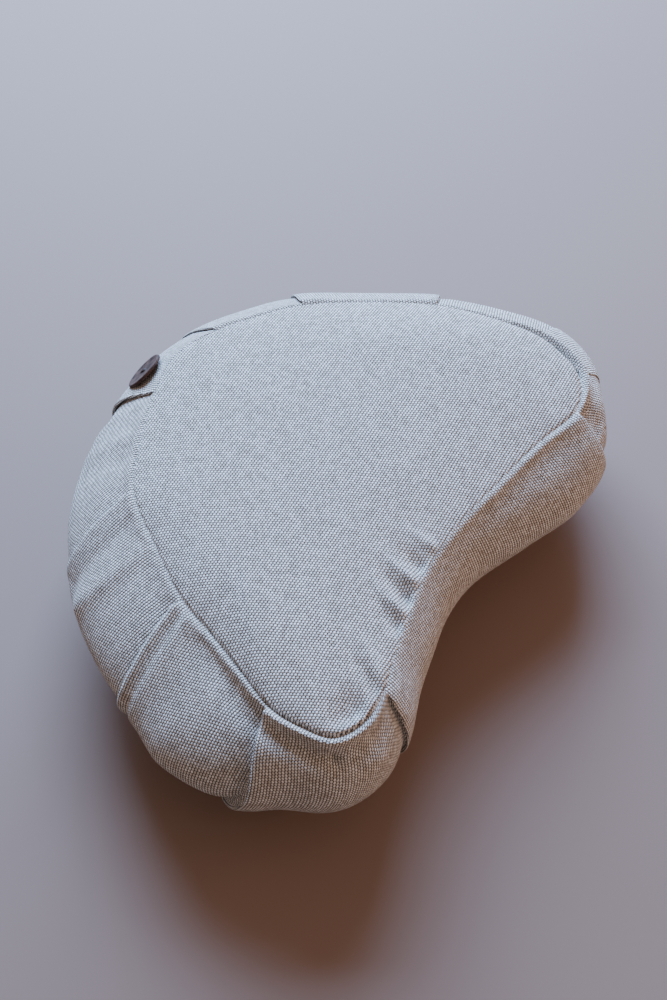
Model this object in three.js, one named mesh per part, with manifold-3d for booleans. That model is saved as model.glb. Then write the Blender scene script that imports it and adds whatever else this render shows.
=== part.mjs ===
// A crescent meditation cushion: one filled body with a pleated side, a closing flap and its button.
// Millimetres, +Z up, +X towards the far tip, +Y towards the rounded back. It stands on Z = 0.

import * as THREE from "three";
import { mergeVertices } from "three/addons/utils/BufferGeometryUtils.js";
import Module from "manifold-3d";

const wasm = await Module();
wasm.setup();

// Heights of the filled body.
const topSeamHeight = 108;
const bottomSeamHeight = 16;
const crownHeight = 12; // how far the middle of the top stands above its seam
const crownPower = 2.4; // the higher, the flatter the middle and the rounder the edge
const bottomTuck = 10; // how far the bottom seam lies inside the top one
const flatReach = 0.3; // share of the way in from the bottom seam at which the base lies flat
const middleLine = { share: 0.6, y: 8, sag: 0.0012 }; // the line down the middle of the crescent

// Sewing. Shares are of the side's height, from the top seam down.
const seamDepth = 2.2; // how far the cloth is drawn in at a seam
const seamGroove = 0.015; // share taken by that groove
const welt = { from: 0.045, width: 0.035 }; // shares, for the ridge of the turned seam allowance
const weltDent = { from: 0.15, width: 0.07, depth: 0.7 }; // the hollow below it; depth: share of the ridge
const foldEdge = 0.8; // half width of the steep step at a pleat's edge
const foldFade = { top: 0.06, end: 0.14 }; // shares over which a fold grows from the seam and dies out
const foldPower = 1.5; // how round the top layer's back is
const foldShadow = { depth: 0.4, width: 6 }; // the hollow under a pleat's edge; depth is a share of its lift
const foldValley = { from: 8, width: 4 }; // the hollow that runs behind a pleat's edge
const clearance = 0.3; // gap between pieces that touch

// Closing flap and button.
const clothThickness = 2.2;
const flapClearance = 0.42; // between the flap and the side, so that their flat faces keep a gap too
const flapGape = 1.6; // how far the flap's free edge stands off the side below it
const flapRecess = 3.4; // how far the side lies back under the flap
const flapLeadIn = 26; // length over which the side runs down to the flap
const flapGapeWidth = 16; // how soon the flap lies close again
const flapGapeRise = { from: 0.03, to: 0.2, back: 0.75, end: 0.97 }; // shares of the height
const buttonRadius = 15.5;
const buttonThickness = 2.6;
const buttonRim = 1.9; // width of the raised rim
const buttonDish = 0.6; // depth of the face inside the rim
const buttonStandOff = 1.56; // the button's back stands this far off the flap
const buttonTilt = THREE.MathUtils.degToRad(8); // how far it hangs over, past the slope of the cloth
const buttonHoleRadius = 1.5;
const buttonHoleSpacing = 7;
const threadRadius = 0.9;
const threadClearance = 0.35; // between the stitch and what it touches
const threadTension = 0.35; // the lower, the tighter its bends
const threadSteps = { steps: 22, curveSegments: 5 };

// Places round the top seam, clockwise seen from above, starting where the inner side meets the near tip.
// swell: how far the side stands out past the seam at half height.
// welt: height of the turned seam allowance.
const stations = [
  { x: -130, y: -133, swell: 23, welt: 1.6 },
  { x: -155, y: -134, swell: 27, welt: 2.6 },
  { x: -174, y: -124, swell: 31, welt: 2.6 },
  { x: -179, y: -102, swell: 40, welt: 2.2 },
  { x: -178, y: -78, swell: 60, welt: 2.0 },
  { x: -168, y: -52, swell: 73, welt: 2.2 },
  { x: -155, y: -18, swell: 69, welt: 1.4 },
  { x: -144, y: 13, swell: 67, welt: 0.6 },
  { x: -121, y: 50, swell: 66, welt: 0.4 },
  { x: -92, y: 90, swell: 54, welt: 0.4 },
  { x: -55, y: 111, swell: 49, welt: 0.4 },
  { x: -16, y: 127, swell: 41, welt: 0.2 },
  { x: 20, y: 134, swell: 34, welt: 0 },
  { x: 55, y: 123, swell: 36, welt: 0.3 },
  { x: 83, y: 105, swell: 39, welt: 0.5 },
  { x: 109, y: 84, swell: 40, welt: 0.5 },
  { x: 139, y: 43, swell: 40, welt: 0.5 },
  { x: 163, y: 0, swell: 39, welt: 0.5 },
  { x: 174, y: -40, swell: 42, welt: 0.8 },
  { x: 179, y: -74, swell: 42, welt: 1.2 },
  { x: 174, y: -100, swell: 36, welt: 2.0 },
  { x: 163, y: -119, swell: 24, welt: 2.4 },
  { x: 147, y: -127, swell: 25, welt: 2.2 },
  { x: 129, y: -130, swell: 33, welt: 1.8 },
  { x: 95, y: -122, swell: 44, welt: 1.8 },
  { x: 50, y: -115, swell: 36, welt: 1.6 },
  { x: 0, y: -109, swell: 25, welt: 1.2 },
  { x: -38, y: -110, swell: 23, welt: 0.8 },
  { x: -75, y: -118, swell: 23, welt: 0.8 },
  { x: -104, y: -125, swell: 23, welt: 1.0 },
];

// Folds of the side. at: number of the station, with its fraction, where the fold leaves the top seam.
// bow: how far its line has run on along the side at half height; lean: the same at the bottom seam.
// over: 1 where the cloth further on lies on top, -1 where the cloth before does, 0 for a soft ridge.
// lift: how far the top layer stands up; spread: how soon that dies away.
// valley: depth of the hollow behind the edge; reach: share of the way down at which it ends.
const folds = [
  { at: 0, bow: 7, lean: 0, over: -1, lift: 2.8, spread: 26, valley: 0, reach: 1 },
  { at: 4, bow: -28, lean: 32, over: -1, lift: 3.4, spread: 30, valley: 0, reach: 1 },
  { at: 7, bow: -19, lean: -2, over: -1, lift: 3.6, spread: 22, valley: 2.6, reach: 1 },
  { at: 9, bow: -18, lean: 0, over: -1, lift: 2.2, spread: 24, valley: 1.8, reach: 1 },
  { at: 10.1, bow: -4, lean: 0, over: 0, lift: 1.2, spread: 7, valley: 0, reach: 0.5 },
  { at: 10.8, bow: -4, lean: 0, over: 0, lift: 1.2, spread: 6, valley: 0, reach: 0.5 },
  { at: 13, bow: -14, lean: 0, over: 1, lift: 2.0, spread: 24, valley: 0, reach: 1 },
  { at: 15, bow: -3, lean: 0, over: 1, lift: 2.0, spread: 24, valley: 0, reach: 1 },
  { at: 16.95, bow: 0, lean: 0, over: -1, lift: 2.0, spread: 24, valley: 0, reach: 1 },
  { at: 19, bow: 4, lean: 0, over: 1, lift: 1.8, spread: 20, valley: 0, reach: 1 },
  { at: 20.8, bow: -6, lean: 0, over: -1, lift: 3.2, spread: 16, valley: 1.0, reach: 1 },
  { at: 22.95, bow: 0, lean: 0, over: 1, lift: 3.0, spread: 28, valley: 0, reach: 1 },
];

// Puckers of the top where its seam is drawn up; depth below zero is a hollow.
const puckers = [
  { at: 27.3, depth: 1.3, spread: 5, reach: 26 },
  { at: 27.6, depth: -1.2, spread: 5, reach: 24 },
  { at: 27.9, depth: 1.3, spread: 5, reach: 26 },
  { at: 28.2, depth: -1.0, spread: 5, reach: 20 },
  { at: 29.6, depth: -1.2, spread: 6, reach: 22 },
  { at: 29.95, depth: 1.2, spread: 6, reach: 24 },
  { at: 0.5, depth: -2.0, spread: 12, reach: 18 },
];

const puckerStart = 6; // how far in from the seam a pucker is deepest

const flapStart = 11; // the station of its free edge
const flapEnd = 13; // the station where it is sewn in under the next pleat
const flapBow = 2;
const flapEndGap = 0.05; // no other column stands this close to its ends, in station numbers
const buttonPlace = { at: 11.62, down: 0.14 };

const columnSpacing = 8.5;
const edgeColumns = [4, 9]; // how far from a fold's line its further columns stand
const innerRows = [0.035, 0.065, 0.11, 0.17, 0.25, 0.34, 0.44, 0.54, 0.64, 0.74, 0.83, 0.9, 0.95];
const sideRows = [0, seamGroove, ...innerRows, 1 - seamGroove, 1];
const topRings = [0.03, 0.085, 0.18, 0.33, 0.55, 0.8];
const baseRings = [0.05, 0.14, flatReach];

const seam = new THREE.CatmullRomCurve3(
  stations.map((row) => new THREE.Vector3(row.x, row.y, row.swell)),
  true,
  "centripetal",
);

// A point of the top seam; its z is the swell there.
function seamPoint(at) {
  const turn = at / stations.length;
  return seam.getPoint(turn - Math.floor(turn));
}

// The step along the seam from half a station before a place to half a station after it.
function stationStep(at) {
  return seamPoint(at + 0.5).sub(seamPoint(at - 0.5)).setZ(0);
}

// Millimetres along the seam for one step of the station number.
function stationLength(at) {
  return stationStep(at).length();
}

function outward(at) {
  const step = stationStep(at);
  return new THREE.Vector2(-step.y, step.x).normalize();
}

function smooth(low, high, value) {
  return THREE.MathUtils.smoothstep(value, low, high);
}

function bell(distance, width) {
  return Math.exp(-((distance / width) ** 2));
}

// The distance between two places round the seam, in station numbers, the short way round.
function apart(at, from) {
  const count = stations.length;
  return THREE.MathUtils.euclideanModulo(at - from + count / 2, count) - count / 2;
}

function weltHeight(at) {
  const count = stations.length;
  const before = Math.floor(at);
  const low = stations[THREE.MathUtils.euclideanModulo(before, count)].welt;
  const high = stations[THREE.MathUtils.euclideanModulo(before + 1, count)].welt;
  return THREE.MathUtils.lerp(low, high, smooth(0, 1, at - before));
}

// Lines that the columns of the side follow: every fold, and the flap's free edge.
const bowedLines = folds.concat({ at: flapStart, bow: flapBow, lean: 0 }).sort((a, b) => a.at - b.at);

// How far a column has run on along the side, in millimetres: eased between the lines on both sides of it.
function runOn(at, down) {
  const count = stations.length;
  const place = THREE.MathUtils.euclideanModulo(at, count);
  const after = bowedLines.find((line) => line.at > place) ?? bowedLines[0];
  const before = bowedLines.findLast((line) => line.at <= place) ?? bowedLines[bowedLines.length - 1];
  const gap = THREE.MathUtils.euclideanModulo(after.at - before.at, count);
  const share = THREE.MathUtils.euclideanModulo(place - before.at, count) / gap;
  const bow = THREE.MathUtils.lerp(before.bow, after.bow, share);
  const lean = THREE.MathUtils.lerp(before.lean, after.lean, share);
  return bow * 4 * down * (1 - down) + lean * down;
}

// A point of the plain side: down is 0 at the top seam and 1 at the bottom one.
function plainSide(at, down) {
  const bulge = 4 * down * (1 - down);
  const run = at + runOn(at, down) / stationLength(at);
  const point = seamPoint(run);
  const out = outward(run);
  const stand = point.z * bulge - bottomTuck * down;
  const height = THREE.MathUtils.lerp(topSeamHeight, bottomSeamHeight, down);
  return new THREE.Vector3(point.x + out.x * stand, point.y + out.y * stand, height);
}

// The side's outward normal; the seam rows turn part of the way towards the panel beside them.
function sideNormal(at, down) {
  const step = 0.02;
  const inner = THREE.MathUtils.clamp(down, step, 1 - step);
  const along = plainSide(at + step, inner).sub(plainSide(at - step, inner));
  const across = plainSide(at, inner + step).sub(plainSide(at, inner - step));
  const normal = along.cross(across).normalize();
  normal.z += 1 - smooth(0, step, down) - smooth(1 - step, 1, down);
  return normal.normalize();
}

// The height of one fold at a distance along the side from its line.
function foldHeight(fold, distance, down) {
  const fade = smooth(0, foldFade.top, down) * (1 - smooth(fold.reach - foldFade.end, fold.reach, down));
  if (fold.over === 0) return fold.lift * fade * bell(distance, fold.spread);
  const onTop = distance * fold.over;
  if (onTop < 0) return -foldShadow.depth * fold.lift * fade * Math.exp(onTop / foldShadow.width);
  const layer = fold.lift * Math.exp(-((onTop / fold.spread) ** foldPower));
  return fade * (layer - fold.valley * bell(onTop - foldValley.from, foldValley.width));
}

// How far the side lies back for the closing flap.
function recess(at, down) {
  const fade = smooth(0, seamGroove, down) * (1 - smooth(1 - seamGroove, 1, down));
  const before = apart(at, flapStart) * stationLength(at);
  const after = apart(at, flapEnd) * stationLength(at);
  if (after > 0) return 0;
  return -flapRecess * fade * smooth(-flapLeadIn, 0, before);
}

function relief(at, down) {
  let height = recess(at, down);
  for (const fold of folds) height += foldHeight(fold, apart(at, fold.at) * stationLength(at), down);
  height += weltHeight(at) * bell(down - welt.from, welt.width);
  height -= weltDent.depth * weltHeight(at) * bell(down - weltDent.from, weltDent.width);
  return height - seamDepth * (bell(down, seamGroove) + bell(1 - down, seamGroove));
}

function sidePoint(at, down, extra = 0) {
  const normal = sideNormal(at, down);
  return plainSide(at, down).addScaledVector(normal, relief(at, down) + extra);
}

// The places of the columns: even steps, and close ones on both sides of each pleat's edge.
function columnPlaces(from, to) {
  const close = [];
  for (const line of bowedLines) {
    const length = stationLength(line.at);
    for (const distance of [foldEdge, ...edgeColumns]) {
      close.push(line.at - distance / length, line.at + distance / length);
    }
  }
  const kept = close.map((at) => THREE.MathUtils.euclideanModulo(at, stations.length));
  for (let station = 0; station < stations.length; station += 1) {
    const length = stationLength(station + 0.5);
    const steps = Math.round(length / columnSpacing);
    for (let step = 0; step < steps; step += 1) {
      const at = station + step / steps;
      const nearest = Math.min(...close.map((other) => Math.abs(apart(at, other)) * length));
      if (nearest > columnSpacing / 2) kept.push(at);
    }
  }
  return kept.sort((a, b) => a - b).filter((at) => at >= from && at <= to);
}

// The point of the cushion's middle line that a ring of the top or the base shrinks towards.
function middleOf(point) {
  const x = point.x * middleLine.share;
  return new THREE.Vector2(x, middleLine.y - middleLine.sag * x ** 2);
}

function topPoint(at, inwards) {
  const edge = seamPoint(at);
  const middle = middleOf(edge);
  const fromSeam = inwards * Math.hypot(middle.x - edge.x, middle.y - edge.y);
  let height = topSeamHeight + crownHeight * (1 - (1 - inwards) ** crownPower);
  for (const pucker of puckers) {
    const along = apart(at, pucker.at) * stationLength(at);
    height += pucker.depth * bell(along, pucker.spread) * bell(fromSeam - puckerStart, pucker.reach);
  }
  const x = THREE.MathUtils.lerp(edge.x, middle.x, inwards);
  const y = THREE.MathUtils.lerp(edge.y, middle.y, inwards);
  return new THREE.Vector3(x, y, height);
}

function basePoint(at, inwards) {
  const edge = plainSide(at, 1);
  const middle = middleOf(edge);
  const height = bottomSeamHeight * (1 - Math.min(inwards / flatReach, 1)) ** 2;
  const x = THREE.MathUtils.lerp(edge.x, middle.x, inwards);
  const y = THREE.MathUtils.lerp(edge.y, middle.y, inwards);
  return new THREE.Vector3(x, y, height);
}

function meshOf(points, faces) {
  const geometry = new THREE.BufferGeometry();
  const position = new THREE.Float32BufferAttribute(points.flatMap((point) => point.toArray()), 3);
  geometry.setAttribute("position", position);
  geometry.setIndex(faces);
  return geometry;
}

// Joins rings of equal count into one closed surface, with a point that closes each end.
function closedSurface(rings, firstMiddle, lastMiddle) {
  const count = rings[0].length;
  const points = rings.flat().concat(firstMiddle, lastMiddle);
  const first = points.length - 2;
  const last = points.length - 1;
  const faces = [];
  for (let column = 0; column < count; column += 1) {
    const next = (column + 1) % count;
    for (let ring = 0; ring + 1 < rings.length; ring += 1) {
      const a = ring * count + column;
      const b = ring * count + next;
      faces.push(a, b, a + count, b, b + count, a + count);
    }
    const end = (rings.length - 1) * count;
    faces.push(first, next, column, last, end + column, end + next);
  }
  return meshOf(points, faces);
}

function cushionGeometry() {
  const places = columnPlaces(0, stations.length);
  const rings = [];
  for (const inwards of [...topRings].reverse()) rings.push(places.map((at) => topPoint(at, inwards)));
  for (const down of sideRows) rings.push(places.map((at) => sidePoint(at, down)));
  for (const inwards of baseRings) rings.push(places.map((at) => basePoint(at, inwards)));
  const top = new THREE.Vector3(0, middleLine.y, topSeamHeight + crownHeight);
  const base = new THREE.Vector3(0, middleLine.y, 0);
  return closedSurface(rings, top, base);
}

// How far the flap's inner face stands off the side below it.
function flapGap(at, down) {
  const fromEdge = apart(at, flapStart) * stationLength(at);
  const along = bell(fromEdge, flapGapeWidth);
  const { from, to, back, end } = flapGapeRise;
  const middle = smooth(from, to, down) * (1 - smooth(back, end, down));
  return flapClearance + flapGape * along * middle;
}

// A bent sheet: its outer and inner faces follow the side's own columns and rows.
function flapGeometry() {
  const edge = clearance + foldEdge;
  const from = flapStart + edge / stationLength(flapStart);
  const to = flapEnd - (edge + foldEdge) / stationLength(flapEnd);
  const places = [from, ...columnPlaces(from + flapEndGap, to - flapEndGap), to];
  const layer = (off) => (down) => places.map((at) => sidePoint(at, down, flapGap(at, down) + off));
  const outer = innerRows.map(layer(clothThickness));
  const inner = innerRows.map(layer(0));
  const loops = outer.map((row, index) => row.concat([...inner[index]].reverse()));
  const count = loops[0].length;
  const points = loops.flat();
  const faces = [];
  for (let row = 0; row + 1 < loops.length; row += 1) {
    for (let column = 0; column < count; column += 1) {
      const a = row * count + column;
      const b = row * count + ((column + 1) % count);
      faces.push(a, b, a + count, b, b + count, a + count);
    }
  }
  const end = (loops.length - 1) * count;
  for (let column = 0; column + 1 < places.length; column += 1) {
    const next = column + 1;
    const back = count - 1 - column;
    faces.push(column, back, next, next, back, back - 1);
    faces.push(end + column, end + next, end + back, end + next, end + back - 1, end + back);
  }
  return meshOf(points, faces);
}

function toSolid(geometry) {
  const bare = geometry.clone();
  bare.deleteAttribute("normal");
  bare.deleteAttribute("uv");
  const merged = mergeVertices(bare, 1e-4);
  const vertProperties = new Float32Array(merged.attributes.position.array);
  const triVerts = new Uint32Array(merged.index.array);
  return new wasm.Manifold(new wasm.Mesh({ numProp: 3, vertProperties, triVerts }));
}

function toGeometry(solid) {
  const mesh = solid.getMesh();
  const geometry = new THREE.BufferGeometry();
  geometry.setAttribute("position", new THREE.Float32BufferAttribute(mesh.vertProperties, 3));
  geometry.setIndex(new THREE.BufferAttribute(mesh.triVerts, 1));
  return geometry;
}

const holeSides = [-1, 1];
const buttonEdge = 0.3; // how square the corner of its rounded edge is, as a share of the round
const discSides = 40;
const holeFacets = 14;

// A turned disc with a raised rim and a dished face, its back on y = 0, with two sewing holes.
function buttonGeometry() {
  const round = buttonThickness / 2;
  const corner = buttonEdge * round;
  const face = buttonThickness - buttonDish;
  const profile = [
    new THREE.Vector2(0, 0),
    new THREE.Vector2(buttonRadius - round, 0),
    new THREE.Vector2(buttonRadius - corner, corner),
    new THREE.Vector2(buttonRadius, round),
    new THREE.Vector2(buttonRadius - corner, buttonThickness - corner),
    new THREE.Vector2(buttonRadius - buttonRim / 2, buttonThickness),
    new THREE.Vector2(buttonRadius - buttonRim, buttonThickness - buttonDish / 4),
    new THREE.Vector2(buttonRadius - 1.6 * buttonRim, face),
    new THREE.Vector2(0, face),
  ];
  const disc = new THREE.LatheGeometry(profile, discSides);
  let solid = toSolid(disc);
  for (const side of holeSides) {
    const long = 3 * buttonThickness;
    const hole = new THREE.CylinderGeometry(buttonHoleRadius, buttonHoleRadius, long, holeFacets);
    hole.translate((side * buttonHoleSpacing) / 2, buttonThickness / 2, 0);
    solid = solid.subtract(toSolid(hole));
  }
  return toGeometry(solid);
}

// The stitch: up through one hole, across the face and down through the other.
function threadGeometry() {
  const half = buttonHoleSpacing / 2;
  const foot = threadClearance - buttonStandOff + half * Math.sin(buttonTilt);
  const top = buttonThickness - buttonDish + threadRadius + threadClearance;
  const shoulder = 0.7 * top;
  const flat = 0.6 * half;
  const points = [
    new THREE.Vector3(-half, foot, 0),
    new THREE.Vector3(-half, shoulder, 0),
    new THREE.Vector3(-flat, top, 0),
    new THREE.Vector3(flat, top, 0),
    new THREE.Vector3(half, shoulder, 0),
    new THREE.Vector3(half, foot, 0),
  ];
  const extrudePath = new THREE.CatmullRomCurve3(points, false, "catmullrom", threadTension);
  const section = new THREE.Shape().absarc(0, 0, threadRadius, 0, 2 * Math.PI);
  return new THREE.ExtrudeGeometry(section, { ...threadSteps, extrudePath });
}

function namedMesh(name, geometry, material) {
  const mesh = new THREE.Mesh(geometry, material);
  mesh.name = name;
  return mesh;
}

const linen = { color: 0xb9b5ac, roughness: 0.95, metalness: 0 };
const cushion = namedMesh("cushion", cushionGeometry(), new THREE.MeshStandardMaterial(linen));
const flap = namedMesh("closing_flap", flapGeometry(), new THREE.MeshStandardMaterial(linen));
const button = namedMesh(
  "button",
  buttonGeometry(),
  new THREE.MeshStandardMaterial({ color: 0x3a2a26, roughness: 0.55, metalness: 0 }),
);
const thread = namedMesh(
  "button_thread",
  threadGeometry(),
  new THREE.MeshStandardMaterial({ color: 0x4a3d36, roughness: 0.9, metalness: 0 }),
);

// The button faces out from the flap, with its two holes one above the other.
const fastening = new THREE.Group();
const buttonNormal = sideNormal(buttonPlace.at, buttonPlace.down);
const flapFace = flapGap(buttonPlace.at, buttonPlace.down) + clothThickness + buttonStandOff;
const across = new THREE.Vector3(buttonNormal.y, -buttonNormal.x, 0).normalize();
const upwards = new THREE.Vector3().crossVectors(across, buttonNormal);
fastening.setRotationFromMatrix(new THREE.Matrix4().makeBasis(upwards, buttonNormal, across.negate()));
fastening.rotateZ(buttonTilt);
fastening.position.copy(sidePoint(buttonPlace.at, buttonPlace.down, flapFace));
fastening.add(button, thread);

const model = new THREE.Group();
model.add(cushion, flap, fastening);
model.updateMatrixWorld(true);
const box = new THREE.Box3().setFromObject(model, true);
const centre = box.getCenter(new THREE.Vector3());
model.position.set(-centre.x, -centre.y, 0);

export default model;
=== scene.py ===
# A crescent meditation cushion in coarse undyed linen, with its closing flap, button and stitch.
import math

import bpy
import numpy as np
from mathutils import Matrix, Vector


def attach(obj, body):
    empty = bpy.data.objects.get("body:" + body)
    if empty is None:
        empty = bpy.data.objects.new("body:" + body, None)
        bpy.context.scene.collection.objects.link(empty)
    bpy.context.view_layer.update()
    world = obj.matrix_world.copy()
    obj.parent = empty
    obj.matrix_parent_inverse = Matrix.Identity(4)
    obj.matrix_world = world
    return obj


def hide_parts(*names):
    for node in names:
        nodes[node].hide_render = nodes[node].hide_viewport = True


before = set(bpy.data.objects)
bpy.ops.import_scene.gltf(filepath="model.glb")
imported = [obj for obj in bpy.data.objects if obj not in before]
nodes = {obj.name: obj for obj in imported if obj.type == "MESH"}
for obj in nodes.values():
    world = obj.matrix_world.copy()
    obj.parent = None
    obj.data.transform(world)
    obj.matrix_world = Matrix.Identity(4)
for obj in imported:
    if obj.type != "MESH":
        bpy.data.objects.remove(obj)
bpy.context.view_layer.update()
print("frame loaded:", ", ".join(sorted(nodes)))

millimetre = 0.001
frameShift = np.array([7.551, -0.436, 0.0])  # from the pattern's middle to the frame's, in mm

# The body's pattern, in millimetres.
body = {
    "topSeamHeight": 108,
    "bottomSeamHeight": 16,
    "crownHeight": 12,
    "crownPower": 2.4,  # the higher, the flatter the middle of the panel
    "bottomTuck": 10,  # how far the bottom seam lies inside the top one
    "flatReach": 0.3,  # share of the way in at which the base lies flat
    "middle": {"share": 0.6, "y": 8, "sag": 0.0012},
    "seamDepth": 2.2,  # of the bottom seam
    "seamGroove": 0.012,  # half width of the bottom seam's groove, as a share of the side's height
    "topGroove": 1.3,  # half widths of the top seam's groove, on the side and on the panel
    "panelGroove": 1.2,
    "weltFrom": 3.8,
    "weltWidth": 3.0,
    "dentFrom": 15,
    "dentWidth": 8,
    "dentDepth": 0.7,
    "standWidth": 8,  # how far in from the seam the panel stands up most
}

# Round the top seam, clockwise from above: x, y, how far the side swells past the seam, height of the
# turned allowance (welt), depth of the seam, and how far the panel stands up beside it.
stations = np.array([
    (-130, -133, 23, 0.4, 1.0, 0.8),
    (-155, -134, 27, 2.4, 2.4, 1.6),
    (-174, -124, 31, 2.4, 2.4, 1.4),
    (-179, -102, 40, 2.2, 2.4, 1.0),
    (-178, -78, 60, 2.0, 2.4, 0.4),
    (-168, -52, 73, 2.4, 2.2, 0.2),
    (-155, -18, 69, 1.6, 1.6, 0.0),
    (-144, 13, 67, 0.6, 1.2, 0.0),
    (-121, 50, 66, 0.4, 0.9, 0.0),
    (-92, 90, 54, 0.9, 1.4, 0.0),
    (-55, 111, 49, 0.9, 1.4, 0.0),
    (-16, 127, 41, 0.2, 0.6, 0.0),
    (20, 134, 34, 0.0, 0.8, 0.0),
    (55, 123, 36, 0.3, 1.2, 0.0),
    (83, 105, 39, 0.5, 1.2, 0.0),
    (109, 84, 40, 0.5, 1.4, 0.0),
    (139, 43, 40, 0.5, 1.2, 0.0),
    (163, 0, 39, 0.5, 1.2, 0.2),
    (174, -40, 42, 0.8, 1.4, 0.6),
    (179, -74, 42, 2.0, 2.4, 0.8),
    (174, -100, 36, 3.0, 3.4, 0.8),
    (163, -119, 24, 2.4, 3.0, 1.0),
    (147, -127, 25, 2.0, 2.2, 0.6),
    (129, -130, 33, 1.6, 1.1, 0.3),
    (95, -122, 44, 1.5, 0.8, 0.1),
    (50, -115, 36, 1.1, 0.6, 0.0),
    (0, -109, 25, 0.6, 0.5, 0.0),
    (-38, -110, 23, 0.2, 0.4, 0.0),
    (-75, -118, 23, 0.2, 0.4, 0.0),
    (-104, -125, 23, 0.2, 0.5, 0.2),
], float)
count = len(stations)
seamCurve = stations[:, :3]
weltColumn, depthColumn, standColumn = 3, 4, 5

# Pleats of the side: station, how far the line runs on at half height (bow) and at the bottom seam (lean),
# which cloth lies on top (1 further on, -1 before), its lift, how soon that dies away, the hollow behind
# its edge, how open its edge stands, the hollow under it as a share of the lift, how tight the edge is
# turned, and the share of the height over which it grows from the seam.
pleatKeys = ("at", "bow", "lean", "over", "lift", "spread", "valley", "open", "hollow", "tight", "top")
pleats = [dict(zip(pleatKeys, values)) for values in (
    (0, 7, 0, -1, 2.8, 26, 0, 0.4, 0.5, 0.7, 0.09),
    (4, -28, 32, -1, 4.0, 30, 0, 0.5, 1.2, 0.55, 0.022),
    (7, -19, -2, -1, 3.6, 22, 2.6, 0.2, 0.3, 0.8, 0.03),
    (9, -18, 0, -1, 1.5, 24, 0.5, 0, 0.6, 0.6, 0.03),
    (13, -14, 0, 1, 1.5, 24, 0, 0.05, 0.3, 0.5, 0.03),
    (15, -3, 0, 1, 2.0, 24, 0, 0.3, 0.4, 0.7, 0.03),
    (16.95, 0, 0, -1, 2.0, 24, 0, 0.3, 0.4, 0.7, 0.03),
    (19, 4, 0, 1, 1.0, 20, 0, 0.0, 0.1, 0.7, 0.12),
    (20.8, -6, 0, -1, 0.5, 12, 0, 0, 0.3, 0.5, 0.06),
    (22.95, 0, 0, 1, 3.6, 22, 0, 0.8, 0.8, 0.6, 0.06),
)]
pleatForm = {
    "zone": 3.2,  # half width of the turned edge
    "ribStart": 0.5,  # past the turned edge, where the ribs are counted from
    "fadeEnd": 0.14,
    "power": 1.5,
    "shadowWidth": 6,
    "valleyFrom": 7.0,
    "valleyWidth": 3.4,
    # across the edge, from the cloth below to the cloth on top: steps of the columns, where they go, their
    # rise, and how far they stand open
    "step": [-3.2, -2.2, -1.4, -0.8, -0.3, 0.2, 0.7, 1.1, 1.5, 2.1, 3.2],
    "place": [-3.2, -1.6, 0.2, 1.4, 1.9, 1.3, -0.2, -1.3, -1.5, -0.6, 3.2],
    "inner": [-0.4, -0.42, -0.4, -0.3, -0.1, 0.0, 0.05, 0.3, 0.62, 0.95, 1.0],
    "slack": [0, 0, 0.0, 0.3, 0.7, 1.0, 1.0, 0.7, 0.35, 0.05, 0],
}

# Soft ridges and hollows of the side: from and to, as station and share of the height down, height at both
# ends, width.
creases = [
    {"from": (10.1, 0.03), "to": (10.1, 0.45), "height": (1.4, 0.6), "width": 7},
    {"from": (10.8, 0.03), "to": (10.5, 0.45), "height": (1.4, 0.6), "width": 6},
    {"from": (6.1, 0.027), "to": (4.1, 0.024), "height": (-0.6, -4.6), "width": 1.7},
    {"from": (5.2, 0.06), "to": (4.15, 0.05), "height": (0, -2.4), "width": 4},
    {"from": (3.8, 0.05), "to": (2.1, 0.11), "height": (-3.6, -4.8), "width": 4.5},
    {"from": (2.1, 0.12), "to": (1.2, 0.13), "height": (-2.6, -0.4), "width": 7},
    {"from": (2.7, 0.28), "to": (1.2, 0.22), "height": (1.0, 2.4), "width": 13},
    {"from": (8.6, 0.03), "to": (8.7, 0.4), "height": (-1.2, -2.6), "width": 7},
    {"from": (8.1, 0.03), "to": (8.35, 0.4), "height": (1.2, 2.4), "width": 7},
    {"from": (9.7, 0.03), "to": (9.8, 0.3), "height": (-0.8, -1.2), "width": 7},
    {"from": (22.35, 0.06), "to": (22.5, 0.24), "height": (-5, -3.5), "width": 6.5},
    {"from": (21.6, 0.2), "to": (22.2, 0.45), "height": (1, 3), "width": 8},
]
creaseForm = {
    "sideLength": 130,  # of the cloth from seam to seam
    "runOut": 0.25,  # how far one fades past its ends, as a share of its length
    "fadeIn": 0.05,  # share of the height over which they grow from the seam
}
# station, bow and lean, as for the pleats, where the first two ridges run
ridgeLines = [(10.1, -4, 0), (10.8, -4, 0)]

# Puckers of the panel where its seam is drawn up: start is how far in from the seam one is deepest.
puckers = [
    {"at": 26.6, "depth": 2.4, "spread": 4, "reach": 15, "start": 6},
    {"at": 27.05, "depth": -3.6, "spread": 5.5, "reach": 14, "start": 6},
    {"at": 27.4, "depth": 3.4, "spread": 3.6, "reach": 18, "start": 6},
    {"at": 27.72, "depth": -4.6, "spread": 5.5, "reach": 17, "start": 6},
    {"at": 28.08, "depth": 3.2, "spread": 3.6, "reach": 18, "start": 6},
    {"at": 28.42, "depth": -3.2, "spread": 5.5, "reach": 14, "start": 6},
    {"at": 29.7, "depth": 1.6, "spread": 6, "reach": 24, "start": 6},
    {"at": 0.2, "depth": -2.4, "spread": 5, "reach": 20, "start": 6},
    {"at": 0.6, "depth": 1.2, "spread": 5, "reach": 20, "start": 6},
    {"at": 1.15, "depth": -4.4, "spread": 14, "reach": 12, "start": 9},
    {"at": 20.4, "depth": -8, "spread": 18, "reach": 2.2, "start": 1.6},
    {"at": 19.7, "depth": -6, "spread": 18, "reach": 2.2, "start": 1.6},
    {"at": 18.9, "depth": -5, "spread": 18, "reach": 2.2, "start": 1.6},
]

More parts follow.
